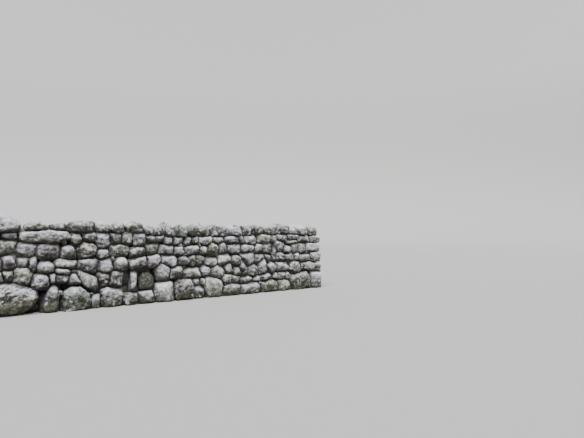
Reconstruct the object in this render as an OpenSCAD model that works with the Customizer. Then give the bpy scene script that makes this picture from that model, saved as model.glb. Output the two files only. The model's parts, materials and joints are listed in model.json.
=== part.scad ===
// Dry stone wall of rounded limestone rubble, laid in rough courses without mortar.
// Origin on the ground under the middle of the wall. X runs along the wall, the front face
// looks along -Y and +Z is up. Both faces lean in. Every stone is a closed solid that lies
// against its neighbours with one small joint between them.

/* [Overall size] */

// Length of the wall from one plain end to the other, mm
wall_length = 7200; // [4800:100:9600]
// Number of bays, with one through stone between each two, count
bay_count = 6; // [4:1:6]
// Thickness of the wall where it meets the ground, mm
base_thickness = 760; // [680:10:1000]
// How far each face leans in over each millimetre of height, ratio
batter = 0.05; // [0.02:0.01:0.1]

/* [Courses] */

// Height of the footing course, mm
footing_rise = 400; // [320:10:500]
// Height of the second course, mm
second_rise = 230; // [190:10:290]
// Height of the third course, which holds the through stones, mm
third_rise = 230; // [190:10:290]
// Height of the fourth course, mm
fourth_rise = 220; // [180:10:280]
// Height of the fifth course, under the cope, mm
fifth_rise = 200; // [160:10:260]
// Height of a usual cope stone above its bed line, mm
cope_rise = 250; // [200:10:320]

/* [Stones] */

// Usual length of a stone in the face, mm
face_stone_length = 265; // [210:5:340]
// Usual length of a footing stone, mm
footing_stone_length = 420; // [340:10:520]
// Usual length of a cope stone, mm
cope_stone_length = 300; // [240:10:380]
// Usual length of a hearting stone, mm
hearting_stone_length = 380; // [300:10:480]
// How far a face stone reaches into the wall, mm
stone_depth = 230; // [190:5:280]
// How far a footing stone stands out beyond the face above it, mm
footing_step = 30; // [0:5:60]
// Width of the joint between stones that lie against each other, mm
joint = 0.3; // [0.2:0.1:1]

/* [Through stones and wall heads] */

// Length of a through stone along the face, mm
through_length = 250; // [200:10:320]
// Length of a tie stone in a wall head, mm
head_tie_length = 300; // [240:10:380]
// Length of a runner stone in a wall head, mm
head_runner_length = 430; // [340:10:540]
// Length of the full thickness footing stone in the middle, mm
centre_stone_length = 420; // [340:10:540]

/* [Hidden] */

face_height = footing_rise + second_rise + third_rise + fourth_rise + fifth_rise;
course_z = [0, footing_rise, footing_rise + second_rise,
    footing_rise + second_rise + third_rise, face_height - fifth_rise, face_height];
bay_length = wall_length / bay_count;
half_length = wall_length / 2;
half_base = base_thickness / 2;
// The hand laid stones are placed from here, so they keep clear of the left wall head.
laid_from = -half_length + head_tie_length + 250;
// Heights of the hand laid stones follow the height of the five courses.
rise_scale = face_height / 1280;
// A stone's outline starts this much larger than its size and is then trimmed by its neighbours.
growth = 1.3;

bays = [for (n = [1:bay_count]) n];
throughs = [for (n = [1:bay_count - 1]) n];

// Line that the cope is bedded along, as places along the wall and heights against face_height.
// Places are measured from laid_from, and the last stretch runs on to the right end.
level_line = [[-1200, 20], [300, 20], [420, 50], [1020, 60], [1250, 30], [2050, 30], [2300, 10],
    [2700, -40], [3900, -50], [4700, 0], [5400, 30], [6100, -10], [12000, -10]];

// How far the bed under each course wanders up and down along the wall, the lowest one most.
bed_sway = [0, 64, 34, 32, 30, 0];
// Waves that a bed is made of: share, degrees for each millimetre, and turn from course to course.
bed_waves = [[0.5, 0.12, 70], [0.35, 0.31, 130], [0.4, 0.73, 50]];
function wander(x, k) = bed_sway[k] * total([for (w = bed_waves) w[0] * sin(x * w[1] + w[2] * k)]);
function bed_at(x, k) = course_z[k] + wander(x, k) * rise_scale;

// Part of a convex outline on the near side of the line through m with outward direction n.
function clip(poly, m, n) = [for (i = [0:1:len(poly) - 1]) let (
    p = poly[i],
    q = poly[(i + 1) % len(poly)],
    a = (p - m) * n,
    b = (q - m) * n,
    crosses = (a < 0 && b > 0) || (a > 0 && b < 0))
    each concat(a <= 0 ? [p] : [], crosses ? [p + (q - p) * a / (a - b)] : [])];

// Every line of a list trims the outline in turn.
function clip_all(poly, lines, i = 0) = i >= len(lines) || len(poly) < 3 ? poly
    : clip_all(clip(poly, lines[i][0], lines[i][1]), lines, i + 1);

function total(v) = v * [for (k = v) 1];
function area(p) = let (n = len(p))
    n < 3 ? 0 : abs(total([for (i = [0:n - 1]) cross(p[i], p[(i + 1) % n])])) / 2;

function low(poly, k) = min([for (p = poly) p[k]]);
function high(poly, k) = max([for (p = poly) p[k]]);
function middle(poly) = [(low(poly, 0) + high(poly, 0)) / 2, (low(poly, 1) + high(poly, 1)) / 2];

// Corners closer together than the shortest edge are left out, and so are scraps of stone.
shortest_edge = 28;
smallest_face = 2500;
function tidy(poly) = let (n = len(poly)) n < 4 ? poly
    : let (near = [for (i = [0:1:n - 1]) if (norm(poly[(i + 1) % n] - poly[i]) < shortest_edge) i])
    len(near) == 0 ? poly
    : tidy([for (i = [0:1:n - 1]) if (i != near[0]) poly[i]]);

// A stone in the face is [x, z, width, height, tilt]: a rounded bar in the plane of the face.
function bar(c) = let (l = abs(c[2] - c[3]) / 2,
    u = c[2] > c[3] ? [cos(c[4]), sin(c[4])] : [-sin(c[4]), cos(c[4])])
    [[c[0], c[1]] - l * u, [c[0], c[1]] + l * u];
function bar_radius(c) = min(c[2], c[3]) / 2;
function on_bar(p, s) = let (d = s[1] - s[0], q = d * d)
    q < 0.0001 ? s[0] : s[0] + max(0, min(1, ((p - s[0]) * d) / q)) * d;

// Closest points of two bars.
function closest(a, b) = let (
    pairs = [[a[0], on_bar(a[0], b)], [a[1], on_bar(a[1], b)],
        [on_bar(b[0], a), b[0]], [on_bar(b[1], a), b[1]]],
    gaps = [for (p = pairs) norm(p[1] - p[0])],
    best = min(gaps))
    [for (i = [0:3]) if (gaps[i] == best) pairs[i]][0];

// The bed line that two neighbours share, as a point, the direction from a to b.
function shared_line(a, b) = let (
    pq = closest(bar(a), bar(b)),
    d = norm(pq[1] - pq[0]),
    n = d < 0.001 ? [1, 0] : (pq[1] - pq[0]) / d,
    ra = bar_radius(a),
    rb = bar_radius(b))
    [pq[0] + n * d * ra / (ra + rb), n];

// Outline of a stone before its neighbours trim it, from a form of half its width and height.
function blank(c, form, w, h) = let (u = [cos(c[4]), sin(c[4])], v = [-u[1], u[0]])
    [for (k = form) [c[0], c[1]] + u * w * k[0] / 2 + v * h * k[1] / 2];
corner_cut = 0.62;
face_form = [[-corner_cut, -1], [corner_cut, -1], [1, -corner_cut], [1, corner_cut],
    [corner_cut, 1], [-corner_cut, 1], [-1, corner_cut], [-1, -corner_cut]];
function face_blank(c) = blank(c, face_form, c[2] * growth, c[3] * growth);

// A cope stone has a flat bed and a crown of its own, with shoulders of different heights.
function cope_form(r) = let (top = 0.6 * r[0] - 0.3, crown = 0.34 + 0.3 * r[1] * r[2])
    [[-0.7, -1], [0.7, -1], [1, -corner_cut], [1, 0.9 * r[1] - 0.35],
        [top + crown, 1 - 0.3 * r[3]], [top - crown, 0.7 + 0.3 * r[3]],
        [-1, 0.9 * r[2] - 0.35], [-1, -corner_cut]];
cope_growth = 1.18;
function cope_blank(c) = blank(c, cope_form(rands(0, 1, 4, round(c[0] + 9000))), c[2] * cope_growth, c[3]);

// The edge of a fixed outline that best keeps a stone off it.
function edge_line(f, c) = let (
    s = bar(c),
    n = len(f),
    sides = [for (i = [0:1:n - 1]) let (e = f[(i + 1) % n] - f[i], out = [e[1], -e[0]] / norm(e))
        [min((s[0] - f[i]) * out, (s[1] - f[i]) * out), i, out]],
    best = max([for (k = sides) k[0]]),
    k = [for (k = sides) if (k[0] == best) k][0])
    [f[k[1]] + k[2] * joint, -k[2]];

function boxes_meet(a, b) = a[0] < b[2] + 2 && b[0] < a[2] + 2 && a[1] < b[3] + 2 && b[1] < a[3] + 2;
function box(p) = [low(p, 0), low(p, 1), high(p, 0), high(p, 1)];

// Height of the bed line of the cope at a place along the wall.
function level_x(i) = laid_from + level_line[i][0];
function level_z(i) = face_height + level_line[i][1] * rise_scale;
function level_at(x) = let (i = [for (i = [0:len(level_line) - 2]) if (x <= level_x(i + 1)) i][0])
    level_z(i) + (level_z(i + 1) - level_z(i)) * (x - level_x(i)) / (level_x(i + 1) - level_x(i));

end_cuts = [[[-half_length, 0], [-1, 0]], [[half_length, 0], [1, 0]]];

// Outlines of a whole layer of stones. Each two neighbours are trimmed by one shared line.
function layer(stones, blanks, fixed) = let (
    outer = [for (b = blanks) box(b)],
    fixed_boxes = [for (f = fixed) box(f)],
    n = len(stones))
    [for (i = [0:1:n - 1]) let (
        c = stones[i],
        near = [for (j = [0:1:n - 1]) if (j != i && boxes_meet(outer[i], outer[j]))
            let (s = i < j ? shared_line(c, stones[j]) : shared_line(stones[j], c),
                m = i < j ? s[1] : -s[1])
            [s[0] - m * joint / 2, m]],
        held = [for (k = [0:1:len(fixed) - 1]) if (boxes_meet(outer[i], fixed_boxes[k]))
            edge_line(fixed[k], c)],
        ground = outer[i][1] < 0 ? [[[0, 0], [0, -1]]] : [],
        cell = clip_all(blanks[i], concat(near, held, ground, end_cuts)),
        clean = tidy(cell))
        if (len(clean) >= 3 && area(clean) > smallest_face) clean];

// Share of its place that a stone is laid out at, and the shortest run that holds a stone.
set_close = 0.96;
shortest_run = 60;
// How far the fifth course is laid out past the cope's bed line, which then trims it.
cope_lap = 30;

// Ends of a run of stones from x0 to x1, in seeded shares of its length.
function stone_ends(x0, x1, n, shares, seed) = let (
    share = rands(shares[0], shares[1], n, seed),
    whole = total(share))
    [for (i = 0, s = 0; i <= n; s = s + (i < n ? share[i] : 0), i = i + 1) x0 + (x1 - x0) * s / whole];

// Stones that fill a stretch of course k exactly, with seeded differences in length, height, place
// and tilt. Some reach into the next course, and now and then a thin one lies with a thick one.
function fill(x0, x1, k, length, seed) = let (
    n = max(1, round((x1 - x0) / length)),
    ends = stone_ends(x0, x1, n, [0.5, 1.55], seed),
    lift = rands(-0.14, 0.14, n, seed + 1),
    grow = rands(0.74, 1.2, n, seed + 2),
    lean = rands(-20, 20, n, seed + 3),
    turn = rands(0, 1, n, seed + 4))
    x1 - x0 < shortest_run ? []
    : [for (i = [0:n - 1]) let (
        x = (ends[i] + ends[i + 1]) / 2,
        w = (ends[i + 1] - ends[i]) * set_close,
        z0 = k == 0 ? 0 : bed_at(x, k),
        h = (k == 4 ? level_at(x) + cope_lap : bed_at(x, k + 1)) - z0,
        z = z0 + h / 2 + lift[i] * h)
        each k == 0 && turn[i] > 0.42 ? low_footing(x, w, h, lean[i])
            : k == 0 ? [[x, h / 2, w, h * set_close, lean[i] / 2.5]]
            : turn[i] > 0.94 && w > 0.9 * length ? split_stone(x, z0, w, h, lean[i])
            : turn[i] < 0.2 && k < 4 ? [[x, z + 0.2 * h, w, h * 1.4, lean[i]]]
            : [[x, z, w, h * grow[i], lean[i]]]];

// A low footing stone with two lesser ones on it.
function low_footing(x, w, h, lean) = let (low = 0.5 + 0.008 * lean, split = 0.01 * lean)
    [[x, low * h / 2, w, low * h * set_close, lean / 5],
        for (side = [-1, 1]) [x + (0.26 * side + split / 2) * w, (1 + low) * h / 2,
            (0.48 - side * split) * w, (1 - low) * h * set_close, -side * lean / 2]];

// A thick stone with a thin one on it or under it.
function split_stone(x, z0, w, h, lean) = let (low = lean > 0 ? 0.36 : 0.64)
    [[x - 0.07 * w, z0 + low * h / 2, w * 0.86, low * h * set_close, lean / 2],
        [x + 0.06 * w, z0 + (1 + low) * h / 2, w * 0.94, (1 - low) * h * set_close, lean / 3]];

// Stretches between fixed stones, given as their left and right sides in order.
function fill_between(x0, x1, stops, k, length, seed) = let (
    from = concat([x0], [for (s = stops) s[1]]),
    to = concat([for (s = stops) s[0]], [x1]))
    [for (i = [0:1:len(from) - 1]) each fill(max(from[i], x0), min(to[i], x1), k, length, seed + 10 * i)];

// Fixed outlines, in the order in which a wall is raised. Places count from laid_from.
function placed(points) = [for (p = points) [laid_from + p[0], p[1] * rise_scale]];
great_boulder_raw = placed([[-260, 0], [320, 0], [500, 120], [560, 250], [540, 350], [420, 420],
    [220, 500], [-50, 505], [-160, 450], [-260, 300]]);
// The boulder passes under the corner of the runner in the wall head beside it.
great_boulder = clip_all(great_boulder_raw, [[[-half_length + head_tie_length + joint, 0], [-1, 0]],
    [[-half_length + head_runner_length + joint, footing_rise], [-0.8, 0.6]]]);
leaning_slab = placed([[575, 0], [830, 0], [860, 160], [860, 380], [780, 460], [690, 380], [580, 130]]);
square_block = placed([[868, 0], [1300, 0], [1330, 120], [1320, 250], [1200, 380], [1050, 405],
    [930, 330], [868, 150]]);
corner_boulder = placed([[-200, 1292], [210, 1300], [330, 1370], [300, 1450], [140, 1570], [20, 1620],
    [-150, 1600], [-280, 1460], [-280, 1340]]);

centre_stone = [for (p = [[-0.5, 0], [0.5, 0], [0.5, 0.74], [0.38, 0.99], [-0.34, 1.01], [-0.5, 0.7]])
    [p[0] * centre_stone_length, p[1] * footing_rise]];

// Cope stones: left, right and height above the bed line, from laid_from, then by rule.
laid_cope = [[380, 700, 190], [700, 960, 160], [970, 1420, 240], [1430, 1650, 230], [1660, 1920, 220],
    [1930, 2270, 240], [2280, 2380, 170], [2390, 2650, 230], [2660, 2890, 330], [2900, 3130, 300],
    [3140, 3350, 280], [3360, 3660, 290], [3670, 4110, 300]];
function cope_stone(x, w, h, r) = let (z = level_at(x) + 10 * r[0] * rise_scale)
    [x, z + h / 2, w, h, 5 * r[1]];
function cope_row(x0, x1, seed) = let (
    n = max(1, round((x1 - x0) / cope_stone_length)),
    ends = stone_ends(x0, x1, n, [0.6, 1.4], seed),
    tall = rands(0.62, 1.3, n, seed + 7))
    x1 - x0 < shortest_run ? []
    : [for (i = [0:n - 1]) cope_stone((ends[i] + ends[i + 1]) / 2, (ends[i + 1] - ends[i]) * set_close,
        cope_rise * tall[i], rands(-1, 1, 2, seed + 20 + i))];
cope_stones = concat(cope_row(-half_length, laid_from - 290, 8100),
    [for (i = [0:len(laid_cope) - 1]) let (s = laid_cope[i], x = laid_from + (s[0] + s[1]) / 2)
        cope_stone(x, s[1] - s[0], s[2] * rise_scale, rands(-1, 1, 2, 8300 + i))],
    cope_row(laid_from + 4120, half_length, 8200));
cope_cells = layer(cope_stones, [for (c = cope_stones) cope_blank(c)], [corner_boulder]);
copes = concat(cope_cells, [corner_boulder]);

// An outline is kept under every cope stone above it. Its own place is given as a bar.
function under_cope(poly, c) = let (b = box(poly))
    clip_all(poly, [for (f = copes) if (boxes_meet(b, box(f))) edge_line(f, c)]);
long_slab_raw = placed([[260, 1160], [420, 1130], [860, 1130], [1010, 1190], [1020, 1400], [250, 1400]]);
long_slab = under_cope(long_slab_raw, [laid_from + 635, 1180 * rise_scale, 700, 60, 0]);

// A through stone lies in the third course at the end of each bay but the last.
function through_at(n) = -half_length + n * bay_length;
function through_outline(n) = let (
    r = rands(-0.06, 0.06, 6, 40 + n),
    x = through_at(n),
    z = bed_at(x, 2),
    h = bed_at(x, 3) - z)
    [for (p = [[-0.4, 0.06], [0.36, 0.03], [0.5, 0.35 + r[0]], [0.46, 0.8 + r[1]], [0.2 + r[2], 0.97],
        [-0.28 + r[3], 0.94], [-0.5, 0.6 + r[4]], [-0.5, 0.3 + r[5]]])
        [x + p[0] * through_length, z + p[1] * h]];
through_outlines = [for (n = throughs) through_outline(n)];

// Wall heads are laid in turn as one tie over the full thickness and a pair of runners.
function head_length(k) = k % 2 == 0 ? head_tie_length : head_runner_length;
head_slope = rands(-16, 16, 24, 77);
// Height of a bed in a wall head, at a distance in from the end of the wall.
function head_bed(k, side, reach) = let (
    first = k * 4 + (side < 0 ? 0 : 2),
    slope = (head_slope[first + 1] - head_slope[first]) / head_runner_length)
    k == 0 ? 0 : course_z[k] + head_slope[first] + slope * reach;
function head_outline(k, side) = let (
    x0 = side * half_length,
    x1 = side * (half_length - head_length(k)),
    cut = 24,
    long = head_length(k),
    b0 = head_bed(k, side, 0) + (k > 0 ? joint / 2 : 0),
    b1 = head_bed(k, side, long - cut) + (k > 0 ? joint / 2 : 0),
    t0 = k < 4 ? head_bed(k + 1, side, 0) - joint / 2 : face_height + 120,
    t1 = k < 4 ? head_bed(k + 1, side, long - cut) - joint / 2 : face_height + 120,
    raw = side < 0
        ? [[x0, b0], [x1 - cut, b1], [x1, b1 + cut], [x1, t1 - cut], [x1 - cut, t1], [x0, t0]]
        : [[x1 + cut, b1], [x0, b0], [x0, t0], [x1 + cut, t1], [x1, t1 - cut], [x1, b1 + cut]])
    k < 4 ? raw
    : under_cope(raw, [(x0 + x1) / 2, course_z[4] + 70 * rise_scale, abs(x1 - x0) * 0.8, 60, 0]);
heads = [for (side = [-1, 1]) for (k = [0:4]) head_outline(k, side)];

// Hand laid stones of the front face: left, right, bottom, top and tilt, from laid_from.
laid = [
    [1345, 1490, 0, 220, -6], [1500, 1870, 0, 320, 2], [1885, 2150, 0, 215, -3], [2165, 2440, 0, 225, 4],
    [2455, 2840, 0, 330, 3],
    [-120, 60, 430, 660, 0], [70, 210, 540, 690, 8], [180, 450, 470, 730, 9], [470, 700, 400, 640, -4],
    [700, 790, 480, 650, 12], [800, 1000, 470, 600, 8], [820, 1010, 590, 700, -7],
    [1010, 1180, 400, 590, 14], [1080, 1480, 400, 590, -38], [1450, 1650, 370, 590, 12],
    [1660, 1880, 330, 620, -7], [2005, 2135, 225, 600, -3],
    [-250, 40, 690, 940, 5], [50, 240, 710, 940, 8], [250, 410, 750, 900, 12], [415, 560, 680, 890, 10],
    [790, 1120, 700, 850, -8], [1140, 1450, 600, 850, 9], [1460, 1700, 600, 830, -12],
    [2010, 2330, 620, 850, 6],
    [-170, 215, 950, 1200, -6], [240, 500, 900, 1120, 6], [510, 850, 850, 1090, -4],
    [870, 1100, 860, 1060, 9], [1110, 1430, 860, 1130, -8], [1440, 1640, 850, 1010, 12],
    [1650, 1990, 870, 1080, -10], [2000, 2290, 850, 1040, 7],
    [-245, -140, 1090, 1210, 0], [-250, 20, 1220, 1290, 0], [40, 240, 1190, 1290, 2],
    [1030, 1190, 1075, 1300, 10], [1200, 1420, 1140, 1300, -6], [1430, 1660, 1020, 1310, 8],
    [1670, 1850, 1090, 1310, -9], [1860, 2060, 1100, 1310, 10], [2070, 2290, 1050, 1310, -7]
];
laid_stones = [for (s = laid) [laid_from + (s[0] + s[1]) / 2, (s[2] + s[3]) / 2 * rise_scale,
    s[1] - s[0], (s[3] - s[2]) * rise_scale, s[4]]];
// Where the rule takes over from the hand laid stones in each course.
laid_to = [2850, 2500, 2340, 2300, 2300];

// The tall slot where a stone is missing, and the recess beside it with one stone set back in it.
slot = placed([[1898, 225], [1988, 228], [2004, 380], [1990, 600], [1900, 610], [1880, 430]]);
recess = placed([[2160, 240], [2470, 235], [2500, 400], [2470, 590], [2300, 620], [2165, 600],
    [2138, 420]]);
recess_stone = placed([[2195, 262], [2415, 256], [2469, 340], [2455, 480], [2375, 560], [2255, 566],
    [2187, 470]]);

function stops_in(k) = k == 0 ? [[-centre_stone_length / 2, centre_stone_length / 2]]
    : k == 2 ? [for (n = throughs) [through_at(n) - through_length / 2, through_at(n) + through_length / 2]]
    : [];
function course_length(k) = k == 0 ? footing_stone_length : face_stone_length;
front_seed = 163;
back_seed = 3100;
front_rule = [for (k = [0:4]) let (from = laid_from + laid_to[k])
    each fill_between(from, half_length - head_length(k), [for (s = stops_in(k)) if (s[1] > from) s],
        k, course_length(k), front_seed + 200 * k)];
back_rule = [for (k = [0:4]) let (out = half_length - head_length(k))
    each fill_between(-out, out, stops_in(k), k, course_length(k), back_seed + 200 * k)];

fixed_both = concat(heads, through_outlines, [centre_stone], copes);
front_stones = concat(laid_stones, front_rule);
front_cells = layer(front_stones, [for (c = front_stones) face_blank(c)],
    concat(fixed_both, [great_boulder, leaning_slab, square_block, long_slab, slot, recess]));
back_cells = layer(back_rule, [for (c = back_rule) face_blank(c)], fixed_both);

// Hearting is laid in four layers that break joint with both faces.
hearting_layers = 4;
function hearting_row(k) = let (
    x0 = -half_length + head_tie_length,
    n = round((wall_length - 2 * head_tie_length) / hearting_stone_length),
    step = (wall_length - 2 * head_tie_length) / n,
    rise = (face_height + 40) / hearting_layers,
    r = rands(-0.12, 0.12, 2 * n, 6100 + k))
    [for (i = [0:n - 1]) [x0 + (i + 0.5 + r[2 * i]) * step, (k + 0.5 + r[2 * i + 1] / 2) * rise,
        step * 0.95, rise * 0.95, 30 * r[2 * i]]];
hearting_stones = [for (k = [0:hearting_layers - 1]) each hearting_row(k)];
hearting_cells = layer(hearting_stones, [for (c = hearting_stones) face_blank(c)],
    concat(fixed_both, [great_boulder]));

// One ring of a stone: its outline drawn in towards c and set at a depth behind the face.
// A tilt turns the ring a little out of the face, so that neighbours look different ways.
function ring(poly, c, s, depth, side, tilt = [0, 0]) = [for (p = poly) let (q = c + s * (p - c))
    [q[0], side * (half_base - batter * q[1] - depth - tilt * (q - c)), q[1]]];

// The rings of one side, from the face inwards. A profile lists their depth, scale and tilt.
function rings(poly, c, profile, side) = [for (p = profile)
    ring(poly, c, p[1], p[0], side, p[2] == undef ? [0, 0] : p[2])];
function reversed(list) = [for (i = [len(list) - 1:-1:0]) list[i]];

// An upright ring across the wall at y.
function upright(poly, c, s, y) = [for (p = poly) let (q = c + s * (p - c)) [q[0], y, q[1]]];

// A closed stone through rings that run from front to back, as points and faces.
function loft(rings) = let (n = len(rings[0]), m = len(rings))
    [[for (r = rings) each r],
    concat([[for (i = [n - 1:-1:0]) i]],
        [for (r = [0:m - 2]) for (i = [0:n - 1]) let (a = r * n + i, b = r * n + (i + 1) % n)
            each [[a, b, b + n], [a, b + n, a + n]]],
        [[for (i = [0:n - 1]) (m - 1) * n + i]])];

// Middle of the lowest side of an outline, which is the side that it lies on.
function bed(poly) = let (
    n = len(poly),
    mids = [for (i = [0:n - 1]) (poly[i] + poly[(i + 1) % n]) / 2],
    lowest = min([for (m = mids) m[1]]))
    [for (m = mids) if (m[1] == lowest) m][0];

// Point that the rings draw in towards. A stone on the ground keeps its flat underside.
function heart(poly, on_ground, seed) = let (
    m = middle(poly),
    r = rands(-0.14, 0.14, 2, seed),
    w = high(poly, 0) - low(poly, 0),
    h = high(poly, 1) - low(poly, 1))
    [m[0] + r[0] * w, on_ground ? 0 : m[1] + r[1] * h];

// Stone in one face of the wall.
function faced(poly, c, profile, side) = let (r = rings(poly, c, profile, side))
    loft(side < 0 ? r : reversed(r));

// Stone over the full thickness, with the same profile on both faces.
function full(poly, c, profile) =
    loft(concat(rings(poly, c, profile, -1), reversed(rings(poly, c, profile, 1))));

// A cope stone reaches over the full thickness with its crown at y, or is a pair that meets there.
function cope_whole(poly, c, front, back, y) = loft(concat(rings(poly, c, front, -1),
    [upright(poly, c, 1, y)], reversed(rings(poly, c, back, 1))));
function cope_pair(poly, c, front, back, y, tuck) = [
    loft(concat(rings(poly, c, front, -1), [upright(poly, c, 0.88, y - joint / 2)])),
    loft(concat([upright(poly, c, 0.88 * tuck, y + joint / 2)],
        reversed(rings(poly, c, [for (p = back) [p[0], p[1] * tuck]], 1))))];

// Profiles give depth, scale and tilt from the face inwards. They follow the seed, so that no two
// stones in a course have quite the same face.
function face_profile(seed) = let (
    r = rands(0, 1, 5, seed + 500),
    d = 46 * r[0] - 20,
    t = [0.3 * r[3] - 0.15, 0.24 * r[4] - 0.12])
    [[d, 0.52 + 0.12 * r[1], t], [d + 24, 0.82 + 0.06 * r[1], t], [88 + 22 * r[2], 1], [stone_depth, 0.84]];
function footing_profile(seed) = let (r = rands(0, 1, 3, seed + 500), d = -footing_step + 25 * r[0])
    [[d, 0.56 + 0.12 * r[1]], [d + 26, 0.84], [70 + 30 * r[2], 1], [stone_depth, 0.9]];
function cope_profile(seed, belly) = let (r = rands(0, 1, 3, seed + 500), d = -45 + 75 * r[0])
    [[d, 0.52 + 0.12 * r[1]], [d + 40, 0.82], [120 + 25 * r[2], belly]];

// Seed of a stone, from its place.
function key(poly) = round(abs(low(poly, 0)) + 3 * abs(high(poly, 1)) + (low(poly, 0) > 0 ? 17 : 0));
function back_key(poly) = key(poly) + 9;
function bay_of(x) = max(1, min(bay_count, 1 + floor((x + half_length) / bay_length)));
function in_bay(cells, n) = [for (p = cells) if (bay_of(middle(p)[0]) == n) p];
function is_footing(p) = low(p, 1) < 1;

// Several closed stones drawn as one body of separate solids.
module stones(list) {
    starts = [for (i = 0, s = 0; i < len(list); s = s + len(list[i][0]), i = i + 1) s];
    polyhedron(
        points = [for (a = list) each a[0]],
        faces = [for (i = [0:1:len(list) - 1]) for (f = list[i][1]) [for (v = f) v + starts[i]]],
        convexity = 8
    );
}

module footing_stones(n) {
    color("#8f8a80") stones([for (side = [-1, 1]) for (p = in_bay(side < 0 ? front_cells : back_cells, n))
        if (is_footing(p)) let (k = side < 0 ? key(p) : back_key(p))
            faced(p, heart(p, true, k), footing_profile(k), side)]);
}

// The recessed stone counts with the front face of its own bay.
recess_profile = [[95, 0.6], [135, 0.97], [stone_depth, 1]];
module front_face(n) {
    color("#a29c90") stones(concat(
        [for (p = in_bay(front_cells, n)) if (!is_footing(p))
            faced(p, heart(p, false, key(p)), face_profile(key(p)), -1)],
        bay_of(middle(recess_stone)[0]) == n
            ? [faced(recess_stone, middle(recess_stone), recess_profile, -1)] : []
    ));
}

module back_face(n) {
    color("#9c968c") stones([for (p = in_bay(back_cells, n)) if (!is_footing(p))
        faced(p, heart(p, false, back_key(p)), face_profile(back_key(p)), 1)]);
}

// Hearting fills the middle between the tails of both faces.
module hearting(n) {
    color("#77726a") stones([for (p = in_bay(hearting_cells, n))
        full(p, heart(p, is_footing(p), key(p)), [[stone_depth + joint, 1]])]);
}

// About half of the cope stones reach over the full thickness and the others lie in pairs.
function cope_solids(p) = let (k = key(p), r = rands(0, 1, 3, k + 900), c = bed(p), y = 160 * r[1] - 80)
    r[0] < 0.5 ? [cope_whole(p, c, cope_profile(k, 0.95), cope_profile(k + 1, 0.95), y)]
    : cope_pair(p, c, cope_profile(k, 1), cope_profile(k + 1, 1), y, 0.88 + 0.1 * r[2]);
module cope_stones_of(n) {
    color("#c2bfbb") stones([for (p = in_bay(cope_cells, n)) each cope_solids(p)]);
}

module through_stone(n) {
    p = through_outlines[n - 1];
    color("#8a8478") stones([full(p, heart(p, false, 60 + n), [[-35, 0.62], [60, 1]])]);
}

// The great boulder has a brow along its front, which climbs to the right. Above the brow it slopes
// back and below it the stone overhangs. Rings give depth, share of its length and share of its
// height about the brow, and the last one reaches in to the tails of the back face.
brow_height = 0.36;
brow_climb = 0.2;
boulder_rings = [[-90, 0.68, 0.2], [-62, 0.86, 0.48], [15, 0.96, 0.8], [105, 1, 1], [150, 1, 1]];
function browed(poly, r) = let (m = middle(poly), brow = brow_height * high(poly, 1))
    [for (p = poly) let (
        x = m[0] + r[1] * (p[0] - m[0]),
        own = brow + brow_climb * (p[0] - m[0]),
        z = own + r[2] * (p[1] - own))
        [x, r[0] + batter * z - half_base, z]];
module great_footing_boulder() {
    reach = base_thickness - stone_depth - 2 * batter * high(great_boulder, 1) - joint;
    color("#b8b0a2") stones([loft([for (r = concat(boulder_rings, [[reach, 1, 1]]))
        browed(great_boulder, r)])]);
}

module leaning_footing_slab() {
    color("#a09a90") stones([faced(leaning_slab, heart(leaning_slab, true, 4),
        [[-30, 0.66], [50, 1], [stone_depth, 0.92]], -1)]);
}

module square_footing_block() {
    color("#8d9088") stones([faced(square_block, heart(square_block, true, 5),
        [[-40, 0.78], [30, 1], [stone_depth, 0.95]], -1)]);
}

module centre_footing_stone() {
    color("#8f8a80") stones([full(centre_stone, heart(centre_stone, true, 6),
        [[-footing_step, 0.78], [40, 1]])]);
}

module long_cope_slab() {
    color("#b4aea6") stones([faced(long_slab, middle(long_slab),
        [[-45, 0.7], [-10, 0.93], [60, 1], [stone_depth, 0.98]], -1)]);
}

module corner_cope_boulder() {
    color("#cfccc8") stones([cope_whole(corner_boulder, bed(corner_boulder),
        [[-70, 0.5], [-30, 0.76], [90, 0.96]], [[-50, 0.46], [-10, 0.74], [110, 0.95]], 0)]);
}

// A head is plain, cut straight at the end of the wall, with ties and runners in turn.
// Two runners lie side by side and meet in the middle of the thickness.
function head_solids(p, k, side) = let (
    c = [side * half_length, k == 0 ? 0 : (low(p, 1) + high(p, 1)) / 2],
    face = k == 0 ? [[-footing_step, 0.86], [40, 1]] : [[-10, 0.86], [50, 1]])
    k % 2 == 0 ? [full(p, c, face)]
    : [loft(concat(rings(p, c, face, -1), [upright(p, c, 1, -joint / 2)])),
        loft(concat([upright(p, c, 1, joint / 2)], reversed(rings(p, c, face, 1))))];
module wall_head(side) {
    first = side < 0 ? 0 : 5;
    color("#948e84") stones([for (k = [0:4]) each head_solids(heads[first + k], k, side)]);
}
module left_wall_head() {
    wall_head(-1);
}
module right_wall_head() {
    wall_head(1);
}

great_footing_boulder();
leaning_footing_slab();
square_footing_block();
centre_footing_stone();
long_cope_slab();
corner_cope_boulder();
left_wall_head();
right_wall_head();
for (n = throughs) through_stone(n);
for (n = bays) footing_stones(n);
for (n = bays) front_face(n);
for (n = bays) back_face(n);
for (n = bays) hearting(n);
for (n = bays) cope_stones_of(n);
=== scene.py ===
import json
import math
import random

import bpy
import numpy as np
from bpy.props import FloatProperty, FloatVectorProperty, PointerProperty
from mathutils import Euler, Matrix, Vector
from mathutils.bvhtree import BVHTree

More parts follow.
